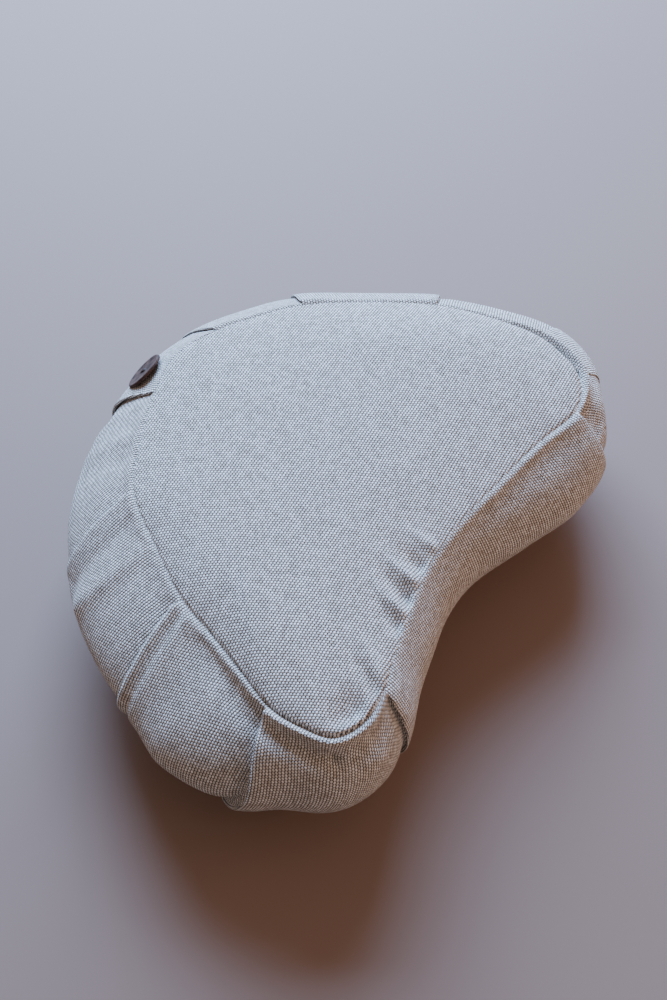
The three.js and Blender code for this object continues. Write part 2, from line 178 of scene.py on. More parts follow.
flap = {
    "start": 11,  # station of its free edge
    "end": 13,  # where it goes in under the next pleat
    "bow": 2,
    "edgeGap": 1.2,  # from its station to its free edge, and from its end to the pleat
    "endGap": 0.9,
    "thickness": 1.6,
    "least": 0.25,  # added to that, and all that is left where it runs into a seam
    "taper": 0.04,  # share of the height over which it thins there
    "foldFat": 0.2,  # share by which it is thicker beside its folded edge
    "foldOut": 0.1,  # share of that which shows outside
    "foldWidth": 3.5,
    "foldTurns": 9,
    "keepOff": (0.03, 0.005),  # least steps, in stations, beside its two ends
    "gape": 1.2,  # how far its edge stands off
    "gapeWidth": 16,
    "rise": (0.03, 0.2, 0.75, 0.97),  # shares of the height between which it does so
    "recess": 2.2,  # how far the side lies back under it
    "recessFade": 0.03,
    "leadIn": 26,
}


def smooth(low, high, value):
    share = np.clip((value - low) / (high - low), 0, 1)
    return share * share * (3 - 2 * share)


def bell(distance, width):
    return np.exp(-((distance / width) ** 2))


# x, y and swell of the top seam.
def seamPoint(at):
    at = np.mod(np.asarray(at, float), count)
    before = np.floor(at).astype(int) % count
    w = (at - np.floor(at))[..., None]
    p0, p1, p2, p3 = (seamCurve[(before + k) % count] for k in (-1, 0, 1, 2))
    d0, d1, d2 = (
        np.sqrt(np.linalg.norm(b - a, axis=-1))[..., None] for a, b in ((p0, p1), (p1, p2), (p2, p3))
    )
    t1 = ((p1 - p0) / d0 - (p2 - p0) / (d0 + d1) + (p2 - p1) / d1) * d1
    t2 = ((p2 - p1) / d1 - (p3 - p1) / (d1 + d2) + (p3 - p2) / d2) * d1
    return p1 + t1 * w + (-3 * p1 + 3 * p2 - 2 * t1 - t2) * w**2 + (2 * p1 - 2 * p2 + t1 + t2) * w**3


def seamStep(at):
    step = seamPoint(np.asarray(at) + 0.5) - seamPoint(np.asarray(at) - 0.5)
    return step[..., 0], step[..., 1]


# Length of seam for one station.
def stationLength(at):
    return np.hypot(*seamStep(at))


def outward(at):
    x, y = seamStep(at)
    normal = np.stack([-y, x], -1)
    return normal / np.linalg.norm(normal, axis=-1, keepdims=True)


# Station numbers from origin to at, the short way round.
def apart(at, origin):
    return np.mod(np.asarray(at) - origin + count / 2, count) - count / 2


# A column of the stations table, eased from station to station.
def along(at, column):
    at = np.mod(np.asarray(at, float), count)
    before = np.floor(at).astype(int)
    ease = smooth(0, 1, at - before)
    return stations[before % count, column] * (1 - ease) + stations[(before + 1) % count, column] * ease


pleatLines = [(pleat["at"], pleat["bow"], pleat["lean"]) for pleat in pleats]
lines = sorted([*pleatLines, *ridgeLines, (flap["start"], flap["bow"], 0)])


# How far a column has run on along the side, in mm: eased between the lines on both sides of it.
def runOn(at, down):
    starts, bows, leans = zip(*lines)
    place = np.mod(at, count)
    bow = np.interp(place, starts, bows, period=count)
    lean = np.interp(place, starts, leans, period=count)
    return bow * 4 * down * (1 - down) + lean * down


def plainSide(at, down):
    bulge = 4 * down * (1 - down)
    run = at + runOn(at, down) / stationLength(at)
    point = seamPoint(run)
    stand = point[..., 2] * bulge - body["bottomTuck"] * down
    out = outward(run)
    height = body["topSeamHeight"] + (body["bottomSeamHeight"] - body["topSeamHeight"]) * down
    return np.stack([point[..., 0] + out[..., 0] * stand, point[..., 1] + out[..., 1] * stand, height], -1)


def unit(vectors):
    return vectors / np.linalg.norm(vectors, axis=-1, keepdims=True)


# The side's outward normal, and the direction along it.
def sideFrame(at, down):
    step = 0.02
    inner = np.clip(down, step, 1 - step)
    forward = plainSide(at + step, inner) - plainSide(at - step, inner)
    across = plainSide(at, inner + step) - plainSide(at, inner - step)
    normal = unit(np.cross(forward, across))
    normal[..., 2] += 1 - smooth(0, step, down) - smooth(1 - step, 1, down)
    return unit(normal), unit(forward)


# Rise of one pleat, and its slide along the side, at a distance from its line.
def pleatRelief(pleat, distance, down):
    form = pleatForm
    lift, over, tight = pleat["lift"], pleat["over"], pleat["tight"]
    zone = form["zone"] * tight
    fade = smooth(0, pleat["top"], down) * (1 - smooth(1 - form["fadeEnd"], 1, down))
    onTop = distance * over
    step = np.array(form["step"]) * tight
    turned = np.interp(onTop, step, form["inner"]) + pleat["open"] * np.interp(onTop, step, form["slack"])
    layer = np.exp(-(np.clip(onTop - zone, 0, None) / pleat["spread"]) ** form["power"])
    shadow = -pleat["hollow"] * np.exp(np.clip(onTop + zone, None, 0) / form["shadowWidth"])
    rise = lift * np.where(onTop > zone, layer, np.where(onTop < -zone, shadow, turned))
    rise = rise - pleat["valley"] * bell(onTop - form["valleyFrom"], form["valleyWidth"]) * (onTop > 0)
    turnedPlace = np.interp(onTop, step, np.array(form["place"]) * tight)
    slide = np.where(abs(onTop) < zone, turnedPlace - onTop, 0) * over
    return rise * fade, slide * fade


# A soft ridge or hollow along a line on the side.
def creaseRelief(crease, at, down):
    (a0, d0), (a1, d1) = crease["from"], crease["to"]
    length, tall = stationLength(a0), creaseForm["sideLength"]
    px, py = apart(at, a0) * length, (down - d0) * tall
    lx, ly = (a1 - a0) * length, (d1 - d0) * tall
    share = (px * lx + py * ly) / (lx * lx + ly * ly)
    gap = np.hypot(px - np.clip(share, 0, 1) * lx, py - np.clip(share, 0, 1) * ly)
    runOut = creaseForm["runOut"]
    height = np.interp(share, (-runOut, 0, 1, 1 + runOut), (0, *crease["height"], 0))
    return height * bell(gap, crease["width"])


# How far the side lies back under the flap.
def recess(at, down):
    fade = smooth(0, flap["recessFade"], down) * (1 - smooth(1 - flap["recessFade"], 1, down))
    before = apart(at, flap["start"]) * stationLength(at)
    after = apart(at, flap["end"]) * stationLength(at)
    return np.where(after > 0, 0, -flap["recess"] * fade * smooth(-flap["leadIn"], 0, before))


# Length of the side's cloth beside the top seam, in mm, for one whole share of its height.
def sideSlope(at):
    swell = 4 * seamPoint(at)[..., 2] - body["bottomTuck"]
    return np.hypot(swell, body["topSeamHeight"] - body["bottomSeamHeight"])


# How far the side stands off its plain form, and how far it slides along: with its pleats alone, or also
# sewn and creased.
def sideRelief(at, down, sewn=True):
    rise, slide = np.zeros(np.shape(at)), np.zeros(np.shape(at))
    for pleat in pleats:
        up, shift = pleatRelief(pleat, apart(at, pleat["at"]) * stationLength(at), down)
        rise, slide = rise + up, slide + shift
    if not sewn:
        return rise, slide
    for crease in creases:
        rise = rise + creaseRelief(crease, at, down) * smooth(0, creaseForm["fadeIn"], down)
    fromSeam = down * sideSlope(at)
    welt = along(at, weltColumn)
    rise = rise + welt * bell(fromSeam - body["weltFrom"], body["weltWidth"])
    rise = rise - body["dentDepth"] * welt * bell(fromSeam - body["dentFrom"], body["dentWidth"])
    rise = rise - along(at, depthColumn) * bell(fromSeam, body["topGroove"])
    rise = rise - body["seamDepth"] * bell(1 - down, body["seamGroove"])
    return rise, slide


def sidePoint(at, down, extra=0.0, bare=True, sewn=True):
    normal, forward = sideFrame(at, down)
    rise, slide = sideRelief(at, down, sewn)
    if bare:
        rise = rise + recess(at, down)
    return plainSide(at, down) + normal * (rise + extra)[..., None] + forward * slide[..., None]


# The point of the panel's middle line that the cloth beside x runs to.
def middleOf(x):
    x = x * body["middle"]["share"]
    return x, body["middle"]["y"] - body["middle"]["sag"] * x**2


def panelPoint(at, inwards):
    edge = seamPoint(at)
    mx, my = middleOf(edge[..., 0])
    reach = np.hypot(mx - edge[..., 0], my - edge[..., 1])
    fromSeam = inwards * reach
    height = body["topSeamHeight"] + body["crownHeight"] * (1 - (1 - inwards) ** body["crownPower"])
    for pucker in puckers:
        distance = apart(at, pucker["at"]) * stationLength(at)
        inner = bell(fromSeam - pucker["start"], pucker["reach"]) * smooth(0, pucker["start"], fromSeam)
        height = height + pucker["depth"] * bell(distance, pucker["spread"]) * inner
    inSteps = fromSeam / body["standWidth"]
    height = height + along(at, standColumn) * inSteps * np.exp(1 - inSteps)
    x = edge[..., 0] + (mx - edge[..., 0]) * inwards
    y = edge[..., 1] + (my - edge[..., 1]) * inwards
    normal = sideFrame(at, np.zeros(np.shape(at)))[0]
    groove = along(at, depthColumn) * bell(fromSeam, body["panelGroove"])
    return np.stack([x, y, height], -1) - normal * groove[..., None]


def basePoint(at, inwards):
    edge = plainSide(at, np.ones(np.shape(at)))
    mx, my = middleOf(edge[..., 0])
    height = body["bottomSeamHeight"] * (1 - np.minimum(inwards / body["flatReach"], 1)) ** 2
    x = edge[..., 0] + (mx - edge[..., 0]) * inwards
    y = edge[..., 1] + (my - edge[..., 1]) * inwards
    return np.stack([x, y, height], -1)


fineness = {
    "spacing": 2.3,  # of the columns round the seam
    "clear": 0.9,  # from a pleat's turned edge to the next column
    "squeeze": 0.4,  # share of the spacing that an even column keeps off the close ones
    "edgeSteps": (-3, -2, -1, 0, 1, 2, 3),  # of the columns at the flap's free edge
}
panelRings = np.array([
    0.86, 0.79, 0.72, 0.65, 0.58, 0.51, 0.45, 0.39, 0.34, 0.29, 0.25, 0.215, 0.183,
    0.155, 0.13, 0.108, 0.09, 0.075, 0.061, 0.049, 0.038, 0.029, 0.021, 0.014, 0.008, 0.003,
])
sideRows = np.concatenate([
    [0, 0.003, 0.006, 0.009, 0.012, 0.016, 0.02, 0.024, 0.028, 0.033],
    [0.039, 0.046, 0.054, 0.063, 0.074, 0.086, 0.1, 0.115, 0.131],
    np.linspace(0.148, 0.95, 48),
    [0.962, 0.972, 0.98, 0.987, 0.992, 0.996, 1],
])
baseRings = np.array([0.006, 0.015, 0.03, 0.06, 0.1, 0.15, 0.2, 0.25, 0.3, 0.5, 0.8])
ribAngle = math.radians(3)  # of the panel's ribs, off the cushion's long side


# Even columns round the seam, with close ones over each pleat's turned edge and at the flap's.
def columnPlaces():
    places, taken = [], []
    margin = pleatForm["zone"] + fineness["clear"]
    for line, _, _ in lines:
        pleated = [pleat for pleat in pleats if pleat["at"] == line]
        if pleated:
            tight = pleated[0]["over"] * pleated[0]["tight"]
            steps = [step * tight for step in pleatForm["step"]] + [-margin, margin]
        elif line == flap["start"]:
            steps = fineness["edgeSteps"]
        else:
            continue
        taken.append(line)
        places += [np.mod(line + step / float(stationLength(line)), count) for step in steps]
    margin += fineness["squeeze"] * fineness["spacing"]
    for station in range(count):
        length = float(stationLength(station + 0.5))
        steps = max(2, round(length / fineness["spacing"]))
        for step in range(steps):
            at = station + step / steps
            if all(abs(apart(at, line)) * length > margin for line in taken):
                places.append(at)
    return np.array(sorted(places))


# A mesh object from points and weave coordinates, in mm of the pattern's frame.
def addMesh(name, points, faces, uvs):
    mesh = bpy.data.meshes.new(name)
    mesh.from_pydata(((points + frameShift) * millimetre).tolist(), [], faces)
    mesh.update()
    layer = mesh.uv_layers.new(name="weave")
    layer.data.foreach_set("uv", (np.asarray(uvs) * millimetre).astype(np.float32).ravel())
    mesh.polygons.foreach_set("use_smooth", [True] * len(mesh.polygons))
    piece = bpy.data.objects.new(name, mesh)
    bpy.context.scene.collection.objects.link(piece)
    return piece


def planarUv(points):
    c, s = math.cos(ribAngle), math.sin(ribAngle)
    return np.stack([-points[..., 0] * s + points[..., 1] * c, points[..., 0] * c + points[..., 1] * s], -1)


# Length from the first point on, along one axis of a grid of points.
def pathLength(points, axis):
    steps = np.linalg.norm(np.diff(points, axis=axis), axis=-1)
    start = np.zeros_like(np.take(steps, [0], axis=axis))
    return np.concatenate([start, np.cumsum(steps, axis=axis)], axis=axis)


def makeBody():
    places = columnPlaces()
    columns = len(places)
    ringPoints = [panelPoint(places, np.full(columns, inwards)) for inwards in panelRings]
    grid, rows = np.meshgrid(places, sideRows)
    side = sidePoint(grid, rows)
    ringPoints += list(side)
    ringPoints += [basePoint(places, np.full(columns, inwards)) for inwards in baseRings]
    rings = np.array(ringPoints)
    firstSide, lastSide = len(panelRings), len(panelRings) + len(sideRows) - 1
    points = rings.reshape(-1, 3)

    # lengths along each row and down each column give the weave its true scale
    pleated = sidePoint(grid, rows, bare=False, sewn=False)
    closed = np.concatenate([pleated, pleated[:, :1]], 1)
    run = pathLength(closed, 1)
    fall = pathLength(side, 0)
    fall = np.concatenate([fall, fall[:, :1]], 1)

    # each run of cloth between two pleats has its ribs beside the edge that lies on top
    edges = sorted([(p["at"], p["over"]) for p in pleats] + [(flap["start"], 0)])
    anchor = np.zeros(columns, int)
    for index, (start, over) in enumerate(edges):
        stop, nextOver = edges[(index + 1) % len(edges)]
        stop = stop + count if stop <= start else stop
        inPiece = np.mod(places - start, count) < stop - start - 1e-6
        fromStart = over == 1 or nextOver != -1
        line = start if fromStart else stop
        clear = (pleatForm["zone"] + pleatForm["ribStart"]) / float(stationLength(line))
        clear = clear if fromStart else -clear
        anchor[inPiece] = int(np.argmin(abs(apart(places, line + clear))))

    faces, uvs = [], []
    flat = planarUv(points)
    for ring in range(len(rings) - 1):
        for column in range(columns):
            nextColumn = (column + 1) % columns
            a, b = ring * columns + column, ring * columns + nextColumn
            faces.append((a, b, b + columns, a + columns))
            if firstSide <= ring < lastSide:
                r = ring - firstSide
                origin0, origin1 = run[r, anchor[column]], run[r + 1, anchor[column]]
                uvs += [
                    (run[r, column] - origin0, fall[r, column]),
                    (run[r, column + 1] - origin0, fall[r, column + 1]),
                    (run[r + 1, column + 1] - origin1, fall[r + 1, column + 1]),
                    (run[r + 1, column] - origin1, fall[r + 1, column]),
                ]
            else:
                uvs += [flat[a], flat[b], flat[b + columns], flat[a + columns]]
    end = (len(rings) - 1) * columns
    faces += [tuple(range(columns))[::-1], tuple(range(end, end + columns))]
    uvs += [flat[i] for face in faces[-2:] for i in face]
    return addMesh("linenBody", points, faces, uvs)


linenBody = makeBody()
print("body made:", len(linenBody.data.polygons), "faces")


# How far the closing flap stands off the side.
def flapGape(at, down):
    low, high, back, end = flap["rise"]
    middle = smooth(low, high, down) * (1 - smooth(back, end, down))
    return flap["gape"] * bell(apart(at, flap["start"]) * stationLength(at), flap["gapeWidth"]) * middle


def makeFlap():
    length = float(stationLength(flap["start"]))
    fromEdge = flap["start"] + flap["edgeGap"] / length
    toEnd = flap["end"] - flap["endGap"] / float(stationLength(flap["end"]))
    first, last = fromEdge + flap["keepOff"][0], toEnd - flap["keepOff"][1]
    inside = [at for at in columnPlaces() if first < at < last]
    places = np.array([fromEdge, *inside, toEnd])
    rows = sideRows[1:-1]
    grid, downs = np.meshgrid(places, rows)
    gape = flapGape(grid, downs)
    thins = smooth(0, flap["taper"], downs) * (1 - smooth(1 - flap["taper"], 1, downs))
    thick = flap["thickness"] * thins + flap["least"]
    folded = bell((grid - fromEdge) * length, flap["foldWidth"]) * flap["foldFat"]
    outer = sidePoint(grid, downs, gape + flap["foldOut"] * thick * folded, bare=False)
    inner = sidePoint(grid, downs, gape - thick * (1 + folded), bare=False)
    # the folded edge is a half round
    centre = (outer[:, 0] + inner[:, 0]) / 2
    radius = (outer[:, 0] - inner[:, 0]) / 2
    forward = unit(outer[:, 1] - outer[:, 0])
    size = np.linalg.norm(radius, axis=-1, keepdims=True)
    angles = np.linspace(0, math.pi, flap["foldTurns"])[1:-1]
    turns = [centre + radius * math.cos(t) - forward * size * math.sin(t) for t in angles]
    loops = np.concatenate([outer, inner[:, ::-1], np.stack(turns[::-1], 1)], 1)
    loopCount = loops.shape[1]
    closed = np.concatenate([loops, loops[:, :1]], 1)
    run = pathLength(closed, 1)
    fall = pathLength(loops[:, 0], 0)
    faces, uvs = [], []
    for row in range(len(rows) - 1):
        for column in range(loopCount):
            a, b = row * loopCount + column, row * loopCount + (column + 1) % loopCount
            faces.append((a, b, b + loopCount, a + loopCount))
            uvs += [
                (run[row, column], fall[row]),
                (run[row, column + 1], fall[row]),
                (run[row + 1, column + 1], fall[row + 1]),
                (run[row + 1, column], fall[row + 1]),
            ]
    end = (len(rows) - 1) * loopCount
    faces.append(tuple(range(loopCount))[::-1])
    faces.append(tuple(range(end, end + loopCount)))
    uvs += [(run[0, column], 0) for column in range(loopCount)][::-1]
    uvs += [(run[-1, column], fall[-1]) for column in range(loopCount)]
    widths = run[:, len(places) - 1]
    cut = {"width": float(widths.max()), "length": float(fall[-1]), "area": float(np.trapz(widths, fall))}
    return addMesh("linenFlap", loops.reshape(-1, 3), faces, uvs), cut


linenFlap, flapCut = makeFlap()
print("flap made:", {key: round(value, 1) for key, value in flapCut.items()})


# Middle of a CAD node and its axes, the shortest first.
def nodeBasis(name):
    points = np.array([v.co for v in nodes[name].data.vertices], float)
    points = np.unique(points.round(6), axis=0)
    middle = (points.max(0) + points.min(0)) / 2
    axes = np.linalg.svd(points - points.mean(0), full_matrices=False)[2]
    return middle, axes[::-1]


buttonForm = {
    "radius": 15.5,
    "thickness": 2.6,
    "rim": 1.9,
    "dish": 0.6,
    "holeRadius": 1.5,
    "holeSpacing": 7,
}
buttonShares = {
    "slope": 0.7,  # of the rim, down into the dish
    "innerRing": 0.35,  # of the radius, round the dish's middle
    "rounding": 0.36,  # of the thickness, at the outer edges
}
buttonMesh = {
    "corners": 96,
    "holeCorners": 32,
    "roundingSteps": 6,
    "smoothAngle": math.radians(35),
}


# Where the button sits: its back's middle, Z out of its face, X from hole to hole.
def placeMatrix():
    middle, axes = nodeBasis("button")
    normal = Vector(axes[0])
    centre = Vector(middle)
    if normal.dot(centre) < 0:
        normal.negate()
    stitchAxes = nodeBasis("button_thread")[1]
    holes = Vector(stitchAxes[2])
    holes = (holes - normal * holes.dot(normal)).normalized()
    side = normal.cross(holes)
    back = centre - normal * buttonForm["thickness"] * millimetre / 2
    turn = Matrix((holes, side, normal)).transposed().to_4x4()
    return Matrix.Translation(back) @ turn


def deselectAll():
    if bpy.context.object and bpy.context.object.mode != "OBJECT":
        bpy.ops.object.mode_set(mode="OBJECT")
    bpy.ops.object.select_all(action="DESELECT")


def selectOnly(piece):
    deselectAll()
    piece.select_set(True)
    bpy.context.view_layer.objects.active = piece


def makeButton(place):
    form = {key: value * millimetre for key, value in buttonForm.items()}
    shares = buttonShares
    deselectAll()
    bpy.ops.mesh.primitive_cylinder_add(
        vertices=buttonMesh["corners"], radius=form["radius"], depth=form["thickness"],
        location=(0, 0, form["thickness"] / 2),
    )
    button = bpy.context.object
    button.name = "coconutButton"
    bpy.ops.object.transform_apply(location=True, rotation=True, scale=True)
    bpy.ops.object.mode_set(mode="EDIT")
    bpy.ops.mesh.select_mode(type="FACE")
    bpy.ops.mesh.select_all(action="DESELECT")
    bpy.ops.object.mode_set(mode="OBJECT")
    for polygon in button.data.polygons:
        polygon.select = polygon.normal.z > 0.9
    bpy.ops.object.mode_set(mode="EDIT")
    bpy.ops.mesh.inset(thickness=form["rim"], depth=0)
    bpy.ops.mesh.inset(thickness=form["rim"] * shares["slope"], depth=-form["dish"])
    bpy.ops.mesh.inset(thickness=form["radius"] * shares["innerRing"], depth=0)
    bpy.ops.object.mode_set(mode="OBJECT")
    for edge in button.data.edges:
        ends = [button.data.vertices[i].co for i in edge.vertices]
        radius = min(math.hypot(p.x, p.y) for p in ends)
        edge.select = radius > form["radius"] * 0.99 and abs(ends[0].z - ends[1].z) < 1e-6
    for polygon in button.data.polygons:
        polygon.select = False
    bpy.ops.object.mode_set(mode="EDIT")
    bpy.ops.mesh.select_mode(type="EDGE")
    bpy.ops.mesh.bevel(
        offset=form["thickness"] * shares["rounding"], segments=buttonMesh["roundingSteps"], profile=0.5
    )
    bpy.ops.object.mode_set(mode="OBJECT")
    for side in (-1, 1):
        deselectAll()
        bpy.ops.mesh.primitive_cylinder_add(
            vertices=buttonMesh["holeCorners"], radius=form["holeRadius"], depth=form["thickness"] * 3,
            location=(side * form["holeSpacing"] / 2, 0, form["thickness"] / 2),
        )
        drill = bpy.context.object
        cut = button.modifiers.new("hole", "BOOLEAN")
        cut.operation = "DIFFERENCE"
        cut.solver = "EXACT"
        cut.object = drill
        selectOnly(button)
        bpy.ops.object.modifier_apply(modifier="hole")
        bpy.data.objects.remove(drill)
    selectOnly(button)
    bpy.ops.object.shade_smooth_by_angle(angle=buttonMesh["smoothAngle"])
    button.data.transform(place)
    return button


stitchForm = {
    "strands": 3,
    "threadRadius": 0.42,
    "pitch": 1.9,  # between strands, in radii
    "gather": 0.7,  # share of the pitch that is left behind the button
    "foot": -0.3,  # height at which they end, behind the button's back
    "wall": 0.7,  # share of the face's height at which they leave the hole's wall
    "shoulder": 0.6,  # share of the way out at which they lie on the face
    "rise": 0.5,  # over the face
    "middleRise": 0.25,  # the middle strand's, over the others
    "crown": 0.1,
}


# Strands side by side: up through one hole, across the face and down through the other.
def makeStitch(place):
    form = stitchForm
    half = buttonForm["holeSpacing"] / 2
    top = buttonForm["thickness"] - buttonForm["dish"]
    curve = bpy.data.curves.new("stitch", "CURVE")
    curve.dimensions = "3D"
    curve.bevel_depth = form["threadRadius"] * millimetre
    curve.bevel_resolution = 3
    curve.resolution_u = 10
    curve.use_fill_caps = True
    middle = (form["strands"] - 1) / 2
    for strand in range(form["strands"]):
        offset = (strand - middle) * form["threadRadius"] * form["pitch"]
        over = top + form["rise"] + form["middleRise"] * (strand == middle)
        rising = [
            (-half, offset * form["gather"], form["foot"]),
            (-half, offset, top * form["wall"]),
            (-half * form["shoulder"], offset, over),
        ]
        falling = [(-x, y, z) for x, y, z in rising[::-1]]
        path = [*rising, (0, offset, over + form["crown"]), *falling]
        spline = curve.splines.new("NURBS")
        spline.points.add(len(path) - 1)
        for point, (x, y, z) in zip(spline.points, path):
            point.co = (x * millimetre, y * millimetre, z * millimetre, 1)
        spline.use_endpoint_u = True
        spline.order_u = 3
    piece = bpy.data.objects.new("sewingThread", curve)
    bpy.context.scene.collection.objects.link(piece)
    selectOnly(piece)
    bpy.ops.object.convert(target="MESH")
    piece = bpy.context.object
    piece.data.transform(place)
    piece.data.polygons.foreach_set("use_smooth", [True] * len(piece.data.polygons))
    return piece


buttonPlace = placeMatrix()
coconutButton = makeButton(buttonPlace)
sewingThread = makeStitch(buttonPlace)
print("button and stitch made")


# sRGB hex to a linear colour.
def linear(hexColour):
    values = [int(hexColour[i:i + 2], 16) / 255 for i in (1, 3, 5)]
    return tuple(v / 12.92 if v <= 0.04045 else ((v + 0.055) / 1.055) ** 2.4 for v in values) + (1,)


def newMaterial(name):
    material = bpy.data.materials.new(name)
    material.use_nodes = True
    return material, material.node_tree, material.node_tree.nodes["Principled BSDF"]


# Adds a node; a link named inN or by the socket's name takes a socket or a plain value.
def addNode(tree, kind, settings=None, **links):
    node = tree.nodes.new(kind)
    for key, value in (settings or {}).items():
        setattr(node, key, value)
    for key, value in links.items():
        socket = node.inputs[int(key[2:])] if key[:2] == "in" and key[2:].isdigit() else node.inputs[key]
        if isinstance(value, bpy.types.NodeSocket):
            tree.links.new(value, socket)
        else:
            socket.default_value = value
    return node


# Linen canvas: undyed flax in a coarse plain weave, washed and matt, so each float of yarn shows as a pale
# grain, and nothing on it shines; the near-black of the pit where it dives under the next yarn is painted
# shade.
linen = {
    "thread": "#f6f4ef",
    "fleck": "#c2bbb0",
    # near-black painted shade for the pits between the yarns
    "gap": "#0f0c0a",
    "ribPitch": 2.0,
    "dashRepeat": 2.07,
    "stagger": 0.5,  # of a float, from rib to rib
    "sideSlope": (0.0, 0.46),  # from a rib's side to its ridge, in ribs
    "tipSlope": (0.02, 0.42),  # from a float's end to its middle, in floats
    "ribShare": 0.55,  # of the relief, the rest being where a yarn dives under the next
    "pitShadeHeights": (0.14, 0.84),  # heights between which the painted pit shade turns to the yarn's colour
    "wander": 1.8,  # mm, over the waves of a noise
    "wanderScale": 55.0,
    "slubScale": 130.0,
    "yarnShare": 0.8,
    "toneRange": (0.4, 1.4),
    "fibreScale": 1500.0,
    "fibreShare": 0.25,
    "bump": 0.9,
    "roughness": 0.92,
    "sheen": 0.12,
    "sheenRoughness": 0.5,
    "shine": 0.2,
}


def linenMaterial():
    material, tree, shader = newMaterial("wovenUndyedLinen")
    uv = addNode(tree, "ShaderNodeUVMap", {"uv_map": "weave"}).outputs[0]
    eased = {"interpolation_type": "SMOOTHSTEP"}
    multiplyAdd = {"operation": "MULTIPLY_ADD"}

    # yarns wander a little from their straight course
    noise = addNode(tree, "ShaderNodeTexNoise", Vector=uv, Scale=linen["wanderScale"], Detail=2.0)
    wanderSize = (linen["wander"] * millimetre,) * 3
    wandered = addNode(
        tree, "ShaderNodeVectorMath", multiplyAdd, in0=noise.outputs["Color"], in1=wanderSize, in2=uv
    ).outputs[0]
    scale = (1 / (linen["ribPitch"] * millimetre), 1 / (linen["dashRepeat"] * millimetre), 0)
    counted = addNode(
        tree, "ShaderNodeVectorMath", {"operation": "MULTIPLY"}, in0=wandered, in1=scale
    ).outputs[0]
    acrossRibs, alongRib = addNode(tree, "ShaderNodeSeparateXYZ", in0=counted).outputs[:2]

    # ribs side by side, every second one half a float further on
    ribNumber = addNode(tree, "ShaderNodeMath", {"operation": "FLOOR"}, in0=acrossRibs).outputs[0]
    odd = addNode(
        tree, "ShaderNodeMath", {"operation": "FLOORED_MODULO"}, in0=ribNumber, in1=2.0
    ).outputs[0]
    alongFloats = addNode(
        tree, "ShaderNodeMath", multiplyAdd, in0=odd, in1=linen["stagger"], in2=alongRib
    ).outputs[0]
    floatNumber = addNode(tree, "ShaderNodeMath", {"operation": "FLOOR"}, in0=alongFloats).outputs[0]
    fromSide = addNode(
        tree, "ShaderNodeMath", {"operation": "PINGPONG"}, in0=acrossRibs, in1=0.5
    ).outputs[0]
    fromTip = addNode(
        tree, "ShaderNodeMath", {"operation": "PINGPONG"}, in0=alongFloats, in1=0.5
    ).outputs[0]

    # the relief is low, and the pit takes painted shade, only where a rib's side and the end of its float
    # meet
    low, high = linen["sideSlope"]
    side = addNode(tree, "ShaderNodeMapRange", eased, Value=fromSide, in1=low, in2=high).outputs[0]
    low, high = linen["tipSlope"]
    tip = addNode(tree, "ShaderNodeMapRange", eased, Value=fromTip, in1=low, in2=high).outputs[0]
    height = addNode(
        tree, "ShaderNodeMix", {"data_type": "FLOAT"}, in0=linen["ribShare"], in2=tip, in3=side
    ).outputs[0]

    # every float and every short length of yarn differs a little in tone
    cell = addNode(tree, "ShaderNodeCombineXYZ", in0=ribNumber, in1=floatNumber).outputs[0]
    yarn = addNode(tree, "ShaderNodeTexWhiteNoise", {"noise_dimensions": "2D"}, Vector=cell).outputs[0]
    slub = addNode(
        tree, "ShaderNodeTexNoise", Vector=uv, Scale=linen["slubScale"], Detail=3.0, Roughness=0.6
    ).outputs[0]
    tone = addNode(
        tree, "ShaderNodeMath", multiplyAdd, in0=yarn, in1=linen["yarnShare"], in2=slub
    ).outputs[0]
    low, high = linen["toneRange"]
    toneShare = addNode(tree, "ShaderNodeMapRange", Value=tone, in1=low, in2=high).outputs[0]
    threadColour = addNode(
        tree, "ShaderNodeMix", {"data_type": "RGBA"}, in0=toneShare, in6=linear(linen["thread"]),
        in7=linear(linen["fleck"]),
    ).outputs[2]
    # low relief takes the painted pit shade, high relief the yarn's own colour
    low, high = linen["pitShadeHeights"]
    clearOfPitShade = addNode(tree, "ShaderNodeMapRange", Value=height, in1=low, in2=high).outputs[0]
    colour = addNode(
        tree, "ShaderNodeMix", {"data_type": "RGBA"}, in0=clearOfPitShade, in6=linear(linen["gap"]), in7=threadColour
    ).outputs[2]
    tree.links.new(colour, shader.inputs["Base Color"])

    # fine fibres on the relief of the ribs
    fibre = addNode(
        tree, "ShaderNodeTexNoise", Vector=uv, Scale=linen["fibreScale"], Detail=3.0
    ).outputs[0]
    raised = addNode(
        tree, "ShaderNodeMath", multiplyAdd, in0=fibre, in1=linen["fibreShare"], in2=height
    ).outputs[0]
    bump = addNode(
        tree, "ShaderNodeBump", Strength=1.0, Distance=linen["bump"] * millimetre, Height=raised
    ).outputs[0]
    tree.links.new(bump, shader.inputs["Normal"])
    shader.inputs["Roughness"].default_value = linen["roughness"]
    shader.inputs["Sheen Weight"].default_value = linen["sheen"]
    shader.inputs["Sheen Roughness"].default_value = linen["sheenRoughness"]
    shader.inputs["Specular IOR Level"].default_value = linen["shine"]
    return material


# Coconut shell, turned and lightly polished; dark brown with paler fibres.
coconut = {
    "dark": "#1d1210",
    "pale": "#634a3f",
    "fibreScale": 900.0,
    "cloudScale": 160.0,
    "paleRange": (0.15, 0.4),  # of fibres times clouds, from dark to pale
    "bump": 0.1,
    "bumpStrength": 0.5,
    "roughness": 0.75,
    "shine": 0.2,
}


